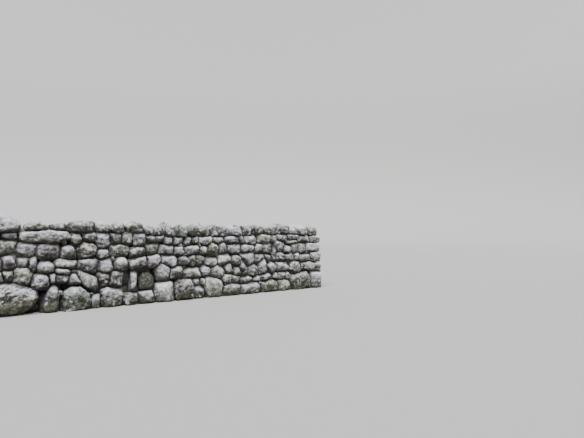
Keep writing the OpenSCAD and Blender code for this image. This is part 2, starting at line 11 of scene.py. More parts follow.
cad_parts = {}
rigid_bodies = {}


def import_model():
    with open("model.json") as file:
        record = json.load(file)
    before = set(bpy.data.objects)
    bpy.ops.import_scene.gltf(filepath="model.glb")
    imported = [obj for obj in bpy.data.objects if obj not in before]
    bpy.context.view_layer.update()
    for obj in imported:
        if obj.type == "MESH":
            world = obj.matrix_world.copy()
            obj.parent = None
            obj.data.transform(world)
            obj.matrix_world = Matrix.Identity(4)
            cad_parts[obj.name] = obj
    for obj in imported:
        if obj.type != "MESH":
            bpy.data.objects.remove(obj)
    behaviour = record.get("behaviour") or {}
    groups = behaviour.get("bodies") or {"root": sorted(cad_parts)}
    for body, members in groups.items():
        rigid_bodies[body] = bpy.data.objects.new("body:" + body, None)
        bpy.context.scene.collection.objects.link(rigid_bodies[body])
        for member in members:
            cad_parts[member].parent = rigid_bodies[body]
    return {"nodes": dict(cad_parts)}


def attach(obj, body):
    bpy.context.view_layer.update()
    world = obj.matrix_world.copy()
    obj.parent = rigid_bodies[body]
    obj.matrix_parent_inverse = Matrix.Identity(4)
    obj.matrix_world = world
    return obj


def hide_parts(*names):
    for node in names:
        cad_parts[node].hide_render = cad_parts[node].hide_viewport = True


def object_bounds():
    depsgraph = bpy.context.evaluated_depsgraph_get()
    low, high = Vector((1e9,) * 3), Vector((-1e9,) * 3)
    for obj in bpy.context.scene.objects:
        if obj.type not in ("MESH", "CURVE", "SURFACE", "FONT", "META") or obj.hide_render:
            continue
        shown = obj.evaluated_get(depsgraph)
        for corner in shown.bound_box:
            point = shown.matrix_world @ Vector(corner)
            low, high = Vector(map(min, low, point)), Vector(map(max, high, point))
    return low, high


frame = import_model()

bl_info = {
    "name": "Dry Stone Wall",
    "version": (1, 0, 0),
    "blender": (4, 5, 0),
    "location": "View3D > Sidebar > Dry Stone Wall",
    "description": "Gives the stones of a dry laid limestone wall their weathered shape and finish",
    "category": "Object",
}

CAD_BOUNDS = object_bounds()
BODY = "root"
FINISHED = "_weathered"

# The wall, in metres
FOOTING_STEP = 0.03  # how far the footing stones stand proud of the back face
HALF_BASE = round(CAD_BOUNDS[1][1] - FOOTING_STEP, 3)  # half its thickness at the ground
BATTER = 0.05  # how far each face leans in over a metre of height
HALF_LENGTH = round(CAD_BOUNDS[1][0], 3)
FACE_TOP = 1.27  # height up to which its joints are pinned
COPE_TOP = 1.5  # usual height of the cope's upper side
BAYS = range(1, 7)
BAY_LENGTH = HALF_LENGTH / 3
THROUGHS = BAYS[:-1]  # one through stone after each bay but the last
SLOT_AND_RECESS = (-1.19, -0.54, 0.22, 0.62)  # left, right, foot and top of both openings in the front
RECESS_STONE = (-0.72, -0.24, 0.41)  # middle of the mossy stone in the recess
BOULDER_CRUST = (-3.05, -0.44, 0.37)  # middle of the dark crust on the great boulder
BOULDER_BROW = (-2.95, 0.2, 0.12)  # a place on the great boulder's brow, its height and its climb

# How its stones are worn and bedded
BEDDED = 0.13  # depth behind a face at which stones lie against each other
OPENING = 0.06  # distance over which a stone goes from bedded to open
BED_HEIGHT = 0.03  # height over its bed at which a cope stone begins to be open
BED_EDGE = 0.04  # height up to which its bed is let into the course below
LET_IN = 0.008  # how far a bedded part is let into its neighbours
LET_IN_ROUND = 0.09  # how much further, on a stone that is rounded all over
WEIGHT_STEPS = 8
WEAR = (0.4, 1.0)  # range of how deeply the textures wear a stone
FULL_WEAR = 0.2  # least width of a stone that they wear to the full
BIG_STONE = 0.5  # length from which a stone hardly turns
ASKEW = 0.06  # usual turn of a stone about each axis, in radians
SET_BACK = (-0.004, 0.022)  # range of how far back the open side of a face stone is set
JOINT_GRIDS = (0.022, 0.03, 0.04, 0.055)  # distances at which two stones count as close together

# The limestone, in metres
PATCH, MOTTLE, SPECK, GRIT = 0.16, 0.046, 0.017, 0.0055  # sizes of its mottling, from broad to fine
LICHEN_SPOT = 0.075
PIT = 0.024
CRACK_SPACING = 0.15
RELIEF = 0.016  # depth of the small relief

# The pinning stones
FIRST_ROW = 0.03  # height of the lowest places tried
END_MARGIN = 0.05  # length at each end of the wall that has none
PIN_DEPTH = (0.08, 0.13)  # range of their depth behind the face
PIN_REACH = 0.07  # how far a gap is measured
PIN_APART = 0.03  # least distance between two, over 2.8 times their half widths
PIN_TURN = 0.35  # most that one turns about an axis, in radians
CHIPS = 8  # broken stones that they are copied from
CHIP_CUTS = 9

# The stage
STAGE_RADIUS = 90.0
STAGE_HEIGHT = 60.0
STAGE_CURVE = 35.0  # radius of the curve from its floor to its side


class StoneShape(bpy.types.PropertyGroup):
    cell: FloatProperty(
        name="Mesh cell", description="Width of a mesh cell on a stone", default=0.013, unit="LENGTH"
    )
    least_worn: FloatProperty(
        name="Least worn", description="Smoothing of the most angular stone", default=1.5
    )
    most_worn: FloatProperty(
        name="Most worn", description="Smoothing of the roundest stone", default=4.6
    )
    lump_size: FloatProperty(
        name="Lump size", description="Width of the broad hollows", default=0.15, unit="LENGTH"
    )
    lump_depth: FloatProperty(
        name="Lump depth", description="Depth of the broad hollows", default=0.062, unit="LENGTH"
    )
    chip_size: FloatProperty(
        name="Chip size", description="Width of the broken facets", default=0.07, unit="LENGTH"
    )
    chip_depth: FloatProperty(
        name="Chip depth", description="Depth of the broken facets", default=0.036, unit="LENGTH"
    )
    grain_size: FloatProperty(
        name="Grain size", description="Width of the small knobs", default=0.028, unit="LENGTH"
    )
    grain_depth: FloatProperty(
        name="Grain depth", description="Depth of the small knobs", default=0.009, unit="LENGTH"
    )
    buried: FloatProperty(
        name="Buried depth", description="Depth past which a stone is hidden", default=0.12, unit="LENGTH"
    )
    buried_share: FloatProperty(
        name="Buried faces", description="Share of the faces kept out of sight", default=0.08
    )


class StoneColours(bpy.types.PropertyGroup):
    pale: FloatVectorProperty(
        name="Pale stone", description="Worn limestone", subtype="COLOR", default=(0.575, 0.57, 0.60)
    )
    light: FloatVectorProperty(
        name="Light stone", description="Light grey limestone", subtype="COLOR", default=(0.33, 0.33, 0.342)
    )
    grey: FloatVectorProperty(
        name="Grey stone", description="Weathered limestone", subtype="COLOR", default=(0.155, 0.153, 0.147)
    )
    # Also laid as painted shade under the great boulder's brow and over the stone in the recess
    dark: FloatVectorProperty(
        name="Dark stone", description="Dark weathered skin", subtype="COLOR", default=(0.052, 0.050, 0.044)
    )
    black: FloatVectorProperty(
        name="Black crust", description="Pits and cracks", subtype="COLOR", default=(0.020, 0.019, 0.017)
    )
    lichen: FloatVectorProperty(
        name="Lichen", description="Pale lichen", subtype="COLOR", default=(0.68, 0.68, 0.72)
    )
    ochre: FloatVectorProperty(
        name="Ochre", description="Ochre stain low on a stone", subtype="COLOR", default=(0.150, 0.135, 0.088)
    )
    stain: FloatVectorProperty(
        name="Stained rock", description="Rock below the brow", subtype="COLOR", default=(0.165, 0.16, 0.112)
    )
    green: FloatVectorProperty(
        name="Green film", description="Film on damp stone", subtype="COLOR", default=(0.135, 0.165, 0.135)
    )
    moss: FloatVectorProperty(
        name="Moss stain", description="Stain near the ground", subtype="COLOR", default=(0.036, 0.046, 0.016)
    )
    bright_moss: FloatVectorProperty(
        name="Bright moss", description="Moss in the recess", subtype="COLOR", default=(0.034, 0.043, 0.018)
    )
    # Soil in the joints, laid also as painted shade between stones and deep behind the face
    soil_and_shade: FloatVectorProperty(
        name="Joint soil", description="Soil in the joints", subtype="COLOR", default=(0.045, 0.041, 0.035)
    )


class PinningStones(bpy.types.PropertyGroup):
    spacing: FloatProperty(
        name="Search step", description="Step between the places tried", default=0.023, unit="LENGTH"
    )
    least: FloatProperty(
        name="Least gap", description="Half width of the least gap pinned", default=0.019, unit="LENGTH"
    )
    most: FloatProperty(
        name="Most gap", description="Half width of the widest gap pinned", default=0.034, unit="LENGTH"
    )


class StageSettings(bpy.types.PropertyGroup):
    eye: FloatVectorProperty(
        name="Camera place", description="Camera place", subtype="TRANSLATION", default=(-3.76, -8.38, 1.21)
    )
    heading: FloatProperty(
        name="Heading", description="Turn from +Y towards +X", default=math.radians(38.7), subtype="ANGLE"
    )
    pitch: FloatProperty(
        name="Pitch", description="Tilt above the horizon", default=math.radians(2.48), subtype="ANGLE"
    )
    lens: FloatProperty(name="Lens", description="Focal length on a 36 mm frame, mm", default=27.06)
    floor: FloatVectorProperty(
        name="Floor colour", description="Floor colour", subtype="COLOR", default=(0.38, 0.38, 0.375)
    )
    sky: FloatProperty(name="Sky strength", description="Strength of the even light", default=0.3)
    top: FloatProperty(
        name="Top light", description="Strength of the soft light overhead, W per square metre", default=6.9
    )
    spread: FloatProperty(
        name="Top light spread", description="How wide it is", default=math.radians(60.0), subtype="ANGLE"
    )
    aim: FloatVectorProperty(
        name="Top light aim", description="Way it shines", subtype="DIRECTION", default=(0.28, 0.46, -1.0)
    )


def only(*objects):
    """Selects these objects alone and makes the first one active."""
    bpy.ops.object.select_all(action="DESELECT")
    for thing in objects:
        thing.select_set(True)
    bpy.context.view_layer.objects.active = objects[0]


def edit(operator, **options):
    """Runs an edit mode operator on the whole mesh of the active object."""
    bpy.ops.object.mode_set(mode="EDIT")
    bpy.ops.mesh.select_all(action="SELECT")
    operator(**options)
    bpy.ops.object.mode_set(mode="OBJECT")


def apply_all(piece):
    only(piece)
    for modifier in list(piece.modifiers):
        bpy.ops.object.modifier_apply(modifier=modifier.name)


def read(items, key, width=3):
    """One value, or a row of values, from each vertex or attribute value."""
    values = np.empty(len(items) * width, np.float32)
    items.foreach_get(key, values)
    return values.reshape(-1, width) if width > 1 else values


def points_of(mesh):
    return read(mesh.vertices, "co")


def move_points(mesh, points):
    mesh.vertices.foreach_set("co", points.ravel())


def note(mesh, name, values):
    """Notes a value at each point of a mesh, for the materials to read."""
    attribute = mesh.attributes.new(name, "FLOAT", "POINT")
    attribute.data.foreach_set("value", np.asarray(values, np.float32))


def copy_of(node):
    """Copy of a CAD node with its stones merged and its flat faces whole."""
    piece = bpy.data.objects.new(node + FINISHED, frame["nodes"][node].data.copy())
    bpy.context.scene.collection.objects.link(piece)
    piece.data.materials.clear()
    only(piece)
    edit(bpy.ops.mesh.remove_doubles, threshold=0.00004)
    edit(bpy.ops.mesh.dissolve_limited, angle_limit=math.radians(0.6))
    return piece


def depth_of(points):
    """How deep each point lies behind the nearest face or end of the wall."""
    x, y, z = np.abs(points).T
    return np.minimum(HALF_BASE - BATTER * z - y, HALF_LENGTH - x)


def openness(points, low, is_cope):
    """How open each point lies: 1 on the outside of the wall, 0 where stones are bedded on each other."""
    open_side = np.clip((BEDDED - depth_of(points)) / OPENING, 0.0, 1.0)
    if is_cope:
        over_bed = points[:, 2] - low - BED_HEIGHT
        open_side = np.maximum(open_side, np.clip(over_bed / OPENING, 0.0, 1.0))
    return open_side


def weigh(stone, name, weights):
    """Gives a stone a vertex group of these weights, rounded to a few steps."""
    group = stone.vertex_groups.new(name=name)
    levels = np.rint(weights * WEIGHT_STEPS).astype(int)
    for level in range(1, WEIGHT_STEPS + 1):
        chosen = np.flatnonzero(levels == level).tolist()
        if chosen:
            group.add(chosen, level / WEIGHT_STEPS, "REPLACE")


def round_stone(stone, dice, cell, worn, least_open, is_cope):
    """Rounds the open side of a stone and gives its sizes and how open each of its points lies."""
    points = points_of(stone.data)
    sizes = points.max(0) - points.min(0)
    low = points[:, 2].min()
    steps = max(1, round(dice.uniform(*worn) * min(sizes) / cell))
    cells = stone.modifiers.new("cells", "REMESH")
    cells.mode = "VOXEL"
    cells.voxel_size = cell
    apply_all(stone)
    points = points_of(stone.data)
    weights = least_open + (1.0 - least_open) * openness(points, low, is_cope)
    if is_cope:
        # The bed is let a little into the course below, so that no light shows under it
        points[:, 2] -= LET_IN * np.clip((low + BED_EDGE - points[:, 2]) / (BED_EDGE / 2), 0.0, 1.0)
        move_points(stone.data, points)
    weigh(stone, "open", weights)
    weigh(stone, "wear", weights * min(1.0, min(sizes) / FULL_WEAR) * dice.uniform(*WEAR))
    smooth = stone.modifiers.new("smooth", "SMOOTH")
    smooth.iterations = steps
    smooth.vertex_group = "open"
    apply_all(stone)
    return sizes, weights


def share_of_turn(sizes):
    """How much of its turn a stone takes: a big one little, a slender one all."""
    if max(sizes) < BIG_STONE:
        return min(1.0, 0.5 * max(sizes) / min(sizes) + 0.1)
    return 0.2


def set_stone(stone, dice, sizes, weights, least_open, in_face):
    """Lets a stone into its neighbours where it is bedded, and sets its open side askew and in or out."""
    swell = (LET_IN + LET_IN_ROUND * least_open) * (1.0 - weights[:, None])
    points = points_of(stone.data) + swell * read(stone.data.vertices, "normal")
    middle = (points.max(0) + points.min(0)) / 2
    askew = Euler([dice.gauss(0.0, ASKEW) for _ in range(3)]).to_matrix()
    loose = (weights * share_of_turn(sizes))[:, None]
    points += loose * ((points - middle) @ np.array(askew).T + middle - points)
    if in_face:
        points[:, 1] -= np.sign(middle[1]) * dice.uniform(*SET_BACK) * weights
    move_points(stone.data, points)
    low, high = points[:, 2].min(), points[:, 2].max()
    note(stone.data, "stone_tone", np.full(len(points), dice.random()))
    note(stone.data, "stone_rise", (points[:, 2] - low) / (high - low))


def shape_stones(piece, dice, cell, worn, least_open):
    """Shapes and sets each stone of a piece by itself, and joins them again."""
    name = piece.name
    only(piece)
    bpy.ops.mesh.separate(type="LOOSE")
    stones = sorted(bpy.context.selected_objects, key=lambda stone: stone.name)
    for stone in stones:
        sizes, weights = round_stone(stone, dice, cell, worn, least_open, "cope" in name)
        set_stone(stone, dice, sizes, weights, least_open, "face" in name)
    only(*stones)
    bpy.ops.object.join()
    piece = bpy.context.view_layer.objects.active
    piece.name = name
    return piece


def noise_texture(name, kind, size, **settings):
    texture = bpy.data.textures.get(name) or bpy.data.textures.new(name, kind)
    texture.noise_scale = size
    for key, value in settings.items():
        setattr(texture, key, value)
    return texture


def weather(piece, rough):
    """Wears the stones back with hollows, broken facets and knobs."""
    shape = bpy.context.scene.wall_shape
    lumps = noise_texture("lumps", "CLOUDS", shape.lump_size, noise_depth=1)
    chips = noise_texture("chips", "VORONOI", shape.chip_size, distance_metric="DISTANCE")
    grain = noise_texture("grain", "CLOUDS", shape.grain_size, noise_type="HARD_NOISE", noise_depth=2)
    # Each texture with its depth and the level at which it leaves the stone alone
    for texture, depth, middle in (
        (lumps, shape.lump_depth, 0.68),
        (chips, shape.chip_depth, 0.55),
        (grain, shape.grain_depth, 0.5),
    ):
        wear = piece.modifiers.new(texture.name, "DISPLACE")
        wear.texture = texture
        wear.texture_coords = "LOCAL"
        wear.strength = depth * rough
        wear.mid_level = middle
        wear.vertex_group = "wear"
    apply_all(piece)


def note_joints(pieces):
    """Notes at each point how near another stone lies, from grids of several sizes and places."""
    points = np.concatenate([points_of(piece.data) for piece in pieces])
    noted = [piece.data.attributes["stone_tone"].data for piece in pieces]
    tones = np.concatenate([read(values, "value", 1) for values in noted])
    near = np.zeros(len(points), np.float32)
    dice = random.Random(5)
    row = 4001  # more cells than a grid has along any axis
    for size in JOINT_GRIDS:
        for _ in range(3):
            cell = np.floor((points + [dice.random() * size for _ in range(3)]) / size).astype(np.int64)
            key = (cell[:, 0] * row + cell[:, 1]) * row + cell[:, 2]
            order = np.argsort(key, kind="stable")
            starts = np.flatnonzero(np.r_[True, np.diff(key[order]) != 0])
            shared = np.maximum.reduceat(tones[order], starts) > np.minimum.reduceat(tones[order], starts)
            near[order] += np.repeat(shared, np.diff(np.r_[starts, len(key)]))
    near /= near.max()
    start = 0
    for piece in pieces:
        count = len(piece.data.vertices)
        note(piece.data, "stone_near", near[start : start + count])
        start += count


def thin_buried(piece):
    """Takes most faces off what lies deep in the wall, out of sight."""
    shape = bpy.context.scene.wall_shape
    points = points_of(piece.data)
    depth = np.minimum(depth_of(points), COPE_TOP - points[:, 2])
    buried = np.flatnonzero(depth > shape.buried)
    if len(buried) == 0:
        return
    group = piece.vertex_groups.new(name="buried")
    group.add(buried.tolist(), 1.0, "REPLACE")
    thin = piece.modifiers.new("thin", "DECIMATE")
    thin.vertex_group = group.name
    thin.vertex_group_factor = 1000.0
    thin.ratio = 1.0 - (1.0 - shape.buried_share) * len(buried) / len(points)
    apply_all(piece)


def stand_on_ground(piece):
    points = points_of(piece.data)
    points[:, 2] = np.maximum(points[:, 2], 0.0)
    move_points(piece.data, points)
    piece.data.update()


def finish_piece(piece, material, slot, *nodes):
    """Gives a piece its finish and its place on the body, instead of the CAD nodes named."""
    piece.data.materials.clear()
    piece.data.materials.append(material)
    piece.vertex_groups.clear()
    only(piece)
    bpy.ops.object.shade_smooth()
    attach(piece, BODY)
    if nodes:
        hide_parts(*nodes)


class Shader:
    """Shorthand for the nodes of one material."""

    def __init__(self, name):
        self.material = bpy.data.materials.new(name)
        self.material.use_nodes = True
        self.tree = self.material.node_tree
        self.tree.nodes.clear()
        output = self.add("ShaderNodeOutputMaterial")
        self.surface = self.add("ShaderNodeBsdfPrincipled")
        self.link(self.surface.outputs[0], output.inputs[0])

    def add(self, kind, **settings):
        node = self.tree.nodes.new(kind)
        for key, value in settings.items():
            setattr(node, key, value)
        return node

    def link(self, source, target):
        self.tree.links.new(source, target)

    def put(self, node, socket, value):
        """Sets a socket to a value, or links it to another socket."""
        if isinstance(value, bpy.types.NodeSocket):
            self.link(value, node.inputs[socket])
        else:
            node.inputs[socket].default_value = value

    def math(self, operation, a, b=0.0):
        node = self.add("ShaderNodeMath", operation=operation)
        self.put(node, 0, a)
        self.put(node, 1, b)
        return node.outputs[0]

    def total(self, *parts):
        """Sum of (value, weight) pairs and plain numbers."""
        result = 0.0
        for part in parts:
            term = self.math("MULTIPLY", *part) if isinstance(part, tuple) else part
            result = self.math("ADD", term, result)
        return result

    def product(self, *factors):
        result = factors[0]
        for factor in factors[1:]:
            result = self.math("MULTIPLY", result, factor)
        return result

    def centred(self, value):
        return self.math("SUBTRACT", value, 0.5)

    def vector(self, operation, a, b):
        node = self.add("ShaderNodeVectorMath", operation=operation)
        self.put(node, 0, a)
        self.put(node, "Scale" if operation == "SCALE" else 1, b)
        return node.outputs["Value" if operation in ("DOT_PRODUCT", "DISTANCE") else 0]

    def split(self, vector):
        node = self.add("ShaderNodeSeparateXYZ")
        self.link(vector, node.inputs[0])
        return node.outputs

    def combine(self, *parts):
        node = self.add("ShaderNodeCombineXYZ")
        for axis, part in enumerate(parts):
            self.link(part, node.inputs[axis])
        return node.outputs[0]

    def noise(self, place, size, detail=4.0, rough=0.55, warp=0.0, output="Fac"):
        node = self.add("ShaderNodeTexNoise")
        self.link(place, node.inputs["Vector"])
        self.put(node, "Scale", 1.0 / size)
        self.put(node, "Detail", detail)
        self.put(node, "Roughness", rough)
        self.put(node, "Distortion", warp)
        return node.outputs[output]

    def cells(self, place, size, feature="F1"):
        node = self.add("ShaderNodeTexVoronoi", feature=feature)
        self.link(place, node.inputs["Vector"])
        self.put(node, "Scale", 1.0 / size)
        return node.outputs["Distance"]

    def step(self, value, low, high, to_low=0.0, to_high=1.0):
        """Goes smoothly from to_low to to_high as the value goes from low to high."""
        node = self.add("ShaderNodeMapRange", interpolation_type="SMOOTHSTEP")
        self.put(node, "Value", value)
        self.put(node, "From Min", low)
        self.put(node, "From Max", high)
        self.put(node, "To Min", to_low)
        self.put(node, "To Max", to_high)
        return node.outputs["Result"]

    def mix(self, amount, a, b, kind="MIX"):
        node = self.add("ShaderNodeMix", data_type="RGBA", blend_type=kind)
        self.put(node, "Factor", amount)
        for socket, value in ((6, a), (7, b)):
            self.put(node, socket, value if isinstance(value, bpy.types.NodeSocket) else (*value, 1.0))
        return node.outputs[2]

    def ramp(self, value, *stops):
        """Colours at (place, colour) stops, blended smoothly."""
        node = self.add("ShaderNodeValToRGB")
        node.color_ramp.interpolation = "EASE"
        elements = node.color_ramp.elements
        while len(elements) < len(stops):
            elements.new(0.5)
        for element, (place, colour) in zip(elements, stops):
            element.position = place
            element.color = (*colour, 1.0)
        self.link(value, node.inputs["Fac"])
        return node.outputs["Color"]


class Limestone(Shader):
    """Layers of weathered limestone, each laid over the skin so far."""

    def __init__(self, name):
        super().__init__(name)
        self.colours = bpy.context.scene.wall_colours
        self.place = self.add("ShaderNodeTexCoord").outputs["Object"]
        self.along, self.across, self.height = self.split(self.place)
        self.up = self.split(self.add("ShaderNodeNewGeometry").outputs["Normal"])["Z"]
        self.rise = self.noted("stone_rise")
        self.near = self.noted("stone_near")
        tone = self.noted("stone_tone")
        # Every stone has its own greyness, its own tint and its own place in the textures
        self.greyness = self.math("FRACT", self.math("MULTIPLY", tone, 13.7))
        self.tint = self.math("FRACT", self.math("MULTIPLY", tone, 57.3))
        far = self.combine(*(self.math("MULTIPLY", tone, distance) for distance in (41.0, 67.0, 29.0)))
        self.own = self.vector("ADD", self.place, far)
        self.broad = self.noise(self.own, PATCH, 3.0)
        self.mottle = self.noise(self.own, MOTTLE, 6.0, 0.62, 0.7)
        self.small = self.noise(self.own, SPECK, 4.0, 0.65)
        self.fine = self.noise(self.own, GRIT, 3.0, 0.6)

    def noted(self, name):
        return self.add("ShaderNodeAttribute", attribute_name=name).outputs["Fac"]

    def cover(self, colour, *amounts):
        """Lays a colour over the skin, by the product of the amounts."""
        self.skin = self.mix(self.product(*amounts), self.skin, colour)

    def lay_skin(self, paleness, contrast, crust):
        """Grey by stone, by patch and by mottling, with a painted highlight where it looks up and painted
        shade low on each stone, on warm and cool stones.
        """
        colours = self.colours
        level = self.total(
            (self.centred(self.greyness), 0.26),
            (self.centred(self.broad), 0.9),
            (self.centred(self.mottle), 1.05 * contrast),
            (self.centred(self.small), 0.6 * contrast),
            # Painted highlight where it looks up, and painted shade low on each stone
            (self.up, 0.24),
            (self.centred(self.rise), 0.4),
            0.5 + paleness,
        )
        if crust is not None:
            level = self.total((level, 1.0), (crust, -0.52))
        grey = self.ramp(
            level,
            (0.12, colours.black),
            (0.32, colours.dark),
            (0.50, colours.grey),
            (0.66, colours.light),
            (0.88, colours.pale),
        )
        cool, plain, warm = (1.0, 0.975, 1.025), (0.97, 0.995, 1.03), (1.0, 1.01, 0.93)
        tint = self.ramp(self.tint, (0.1, cool), (0.45, plain), (0.85, warm))
        self.skin = self.mix(1.0, grey, tint, "MULTIPLY")

    def lay_stains(self, ochre, green):
        """Ochre low on a stone, and a green film in damp patches."""
        low = self.step(self.rise, 0.15, 0.6, 1.0, 0.0)
        under = self.step(self.up, -0.9, 0.5, 1.0, 0.25)
        patches = self.step(self.noise(self.own, 0.12, 4.0, 0.6, 0.5), 0.4, 0.62)
        self.cover(self.colours.ochre, self.product(low, under), patches, ochre)
        damp = self.step(self.noise(self.own, 0.09, 5.0, 0.6), 0.45, 0.65)
        on_some = self.step(self.tint, 1.0 - green, 1.05 - green)
        self.cover(self.colours.green, damp, on_some, 0.6)

    def lay_lichen(self, lichen):
        """Crusts of pale lichen, most on what looks up."""
        ragged = self.math("MULTIPLY", self.centred(self.small), 0.75)
        spots = self.math("ADD", self.cells(self.own, LICHEN_SPOT), ragged)
        rounds = self.step(spots, 0.36, 0.43, 1.0, 0.0)
        patches = self.step(self.noise(self.own, 0.12, 2.0), 0.62 - 0.2 * lichen, 0.70 - 0.2 * lichen)
        crust = self.product(rounds, patches, self.step(self.up, -0.5, 0.5, 0.2, 1.0))
        self.cover(self.mix(self.fine, self.colours.light, self.colours.lichen), crust, 0.75)
        return crust

    def lay_pits(self):
        shaken = self.vector("SCALE", self.noise(self.own, 0.012, 2.0, output="Color"), 0.012)
        holes = self.cells(self.vector("ADD", self.own, shaken), PIT)
        scarce = self.noise(self.own, 0.05, 3.0, 0.7)
        hole = self.total((holes, 1.0), (scarce, 0.9), (self.tint, 0.12), -0.04)
        pit = self.step(hole, 0.50, 0.68, 1.0, 0.0)
        self.cover(self.colours.black, pit, 0.75)
        return pit

    def lay_cracks(self):
        """Cracks that wander over some of the stone."""
        sway = self.vector("SCALE", self.noise(self.own, 0.09, 3.0, output="Color"), 0.06)
        edges = self.cells(self.vector("ADD", self.own, sway), CRACK_SPACING, "DISTANCE_TO_EDGE")
        some = self.step(self.noise(self.own, 0.1, 2.0), 0.52, 0.62)
        crack = self.product(self.step(edges, 0.004, 0.03, 1.0, 0.0), some)
        self.cover(self.colours.black, crack, 0.55)
        return crack

    def lay_beds(self, bands):
        """Beds of the rock, open where they have weathered out."""
        tilt = self.vector("DOT_PRODUCT", self.place, (-0.25, 0.1, 1.0))
        waves, ripples = self.noise(self.place, 0.35, 4.0), self.noise(self.place, 0.05, 3.0)
        bed = self.total((tilt, 26.0), (waves, 3.4), (ripples, 0.5))
        seam = self.step(self.math("PINGPONG", bed, 0.5), 0.0, 0.2, 1.0, 0.0)
        seam = self.product(seam, self.step(self.noise(self.place, 0.24, 3.0), 0.42, 0.6), bands)
        self.cover(self.colours.black, seam, 0.9)
        return seam

    def strips(self):
        """Streaks that run aslant over the great boulder."""
        slant = self.combine(
            self.vector("DOT_PRODUCT", self.place, (3.5, 0.0, 1.2)),
            self.vector("DOT_PRODUCT", self.place, (-3.5, 2.0, 10.0)),
        )
        return self.noise(slant, 1.0, 4.0, 0.65, 0.6)

    def lay_underside(self, strips, brow):
        """Painted shade on the great boulder where it looks down and below its brow, streaked with stained
        rock.
        """
        looks_down = self.step(self.total((self.up, 1.0), (self.mottle, 0.5)), 0.0, 0.42, 1.0, 0.0)
        brow_x, brow_z, climb = brow
        start = brow_z - brow_x * climb
        above = self.total((self.height, 1.0), (self.along, -climb), (self.broad, 0.16), (self.mottle, 0.08))
        below = self.step(above, start + 0.10, start + 0.14, 1.0, 0.0)
        streaks = self.step(self.total((strips, 0.5), (self.mottle, 0.5)), 0.42, 0.6)
        # Painted shade of the underside, streaked with stained rock
        stain_and_shade = self.mix(streaks, self.colours.dark, self.colours.stain)
        self.cover(stain_and_shade, self.math("MAXIMUM", looks_down, below), 0.9)

    def lay_moss(self, moss_height):
        """Moss stain, in patches near the ground."""
        height = self.total((self.height, 1.0), (self.mottle, -0.2))
        low = self.step(height, -0.08, moss_height - 0.1, 1.0, 0.0)
        damp = self.step(self.noise(self.place, 0.13, 5.0, 0.65), 0.47, 0.6)
        self.cover(self.colours.moss, low, damp, 0.8)

    def lay_moss_and_shade(self, middle):
        """Painted shade of the recess over the one stone about this middle, with patches of moss."""
        moss_and_shade = self.step(self.vector("DISTANCE", self.place, middle), 0.15, 0.27, 1.0, 0.0)
        patch = self.step(self.total((self.noise(self.place, 0.05, 4.0), 1.0), (self.up, 0.12)), 0.43, 0.56)
        # Painted shade of the recess over the whole stone, under the moss patches
        self.cover(self.colours.dark, moss_and_shade, 0.75)
        self.cover(self.colours.bright_moss, moss_and_shade, patch, 0.8)
        return moss_and_shade

    def lay_soil_and_shade(self, behind_face, moss_and_shade):
        """Dark soil and painted shade where another stone lies near and deep behind the leaning face, but for
        the mossy stone in the recess.
        """
        joint = self.step(self.total((self.near, 1.0), (self.mottle, -0.9)), 0.0, 0.4)
        if behind_face:
            face = self.total((self.height, -BATTER), HALF_BASE)
            depth = self.math("SUBTRACT", face, self.math("ABSOLUTE", self.across))
            end = self.math("SUBTRACT", HALF_LENGTH, self.math("ABSOLUTE", self.along))
            depth = self.math("MINIMUM", depth, end)
            inner = self.step(self.total((depth, 1.0), (self.mottle, -0.05)), 0.03, 0.09)
            if moss_and_shade is not None:
                inner = self.math("MULTIPLY", inner, self.math("SUBTRACT", 1.0, moss_and_shade))
            joint = self.math("MAXIMUM", joint, inner)
        # Soil in the joints, with painted shade between stones and behind the face
        self.cover(self.colours.soil_and_shade, joint, 0.75)

    def join_up(self, *relief):
        """Joins the skin, its roughness and the sum of the reliefs to the surface."""
        self.link(self.skin, self.surface.inputs["Base Color"])
        self.link(self.step(self.small, 0.2, 0.8, 0.98, 0.82), self.surface.inputs["Roughness"])
        self.put(self.surface, "Specular IOR Level", 0.2)
        bump = self.add("ShaderNodeBump")
        self.put(bump, "Strength", 1.0)
        self.put(bump, "Distance", RELIEF)
        self.link(self.total(*relief), bump.inputs["Height"])
        self.link(bump.outputs[0], self.surface.inputs["Normal"])


def limestone(
    name,
    paleness=0.0,
    contrast=1.0,
    lichen=0.5,
    ochre=0.2,
    green=0.2,
    moss_height=0.0,
    bands=0.0,
    brow=None,
    moss_and_shade_place=None,
    behind_face=True,
):
    """Weathered limestone: mottled skin with a painted highlight on top and painted shade low down, lichen,
    dark crust, pits and cracks, painted shade under the boulder's brow and over the recess stone, and soil
    with painted shade in the joints.
    """
    s = Limestone(name)
    strips = crust = moss_and_shade = None
    if brow:
        strips = s.strips()
        crusty = s.step(s.vector("DISTANCE", s.place, BOULDER_CRUST), 0.12, 0.34, 1.0, 0.0)
        crust = s.product(crusty, s.step(strips, 0.46, 0.56))
    s.lay_skin(paleness, contrast, crust)
    s.lay_stains(ochre, green)
    growth = s.lay_lichen(lichen)
    pits, cracks = s.lay_pits(), s.lay_cracks()
    relief = [(s.mottle, 1.0), (s.small, 0.55), (s.fine, 0.16), (pits, -0.4), (cracks, -0.5), (growth, 0.08)]
    if bands:
        relief.append((s.lay_beds(bands), -0.9))
    if brow:
        s.lay_underside(strips, brow)
    if moss_height:
        s.lay_moss(moss_height)
    if moss_and_shade_place:
        moss_and_shade = s.lay_moss_and_shade(moss_and_shade_place)
    s.lay_soil_and_shade(behind_face, moss_and_shade)
    s.join_up(*relief)
    return s.material


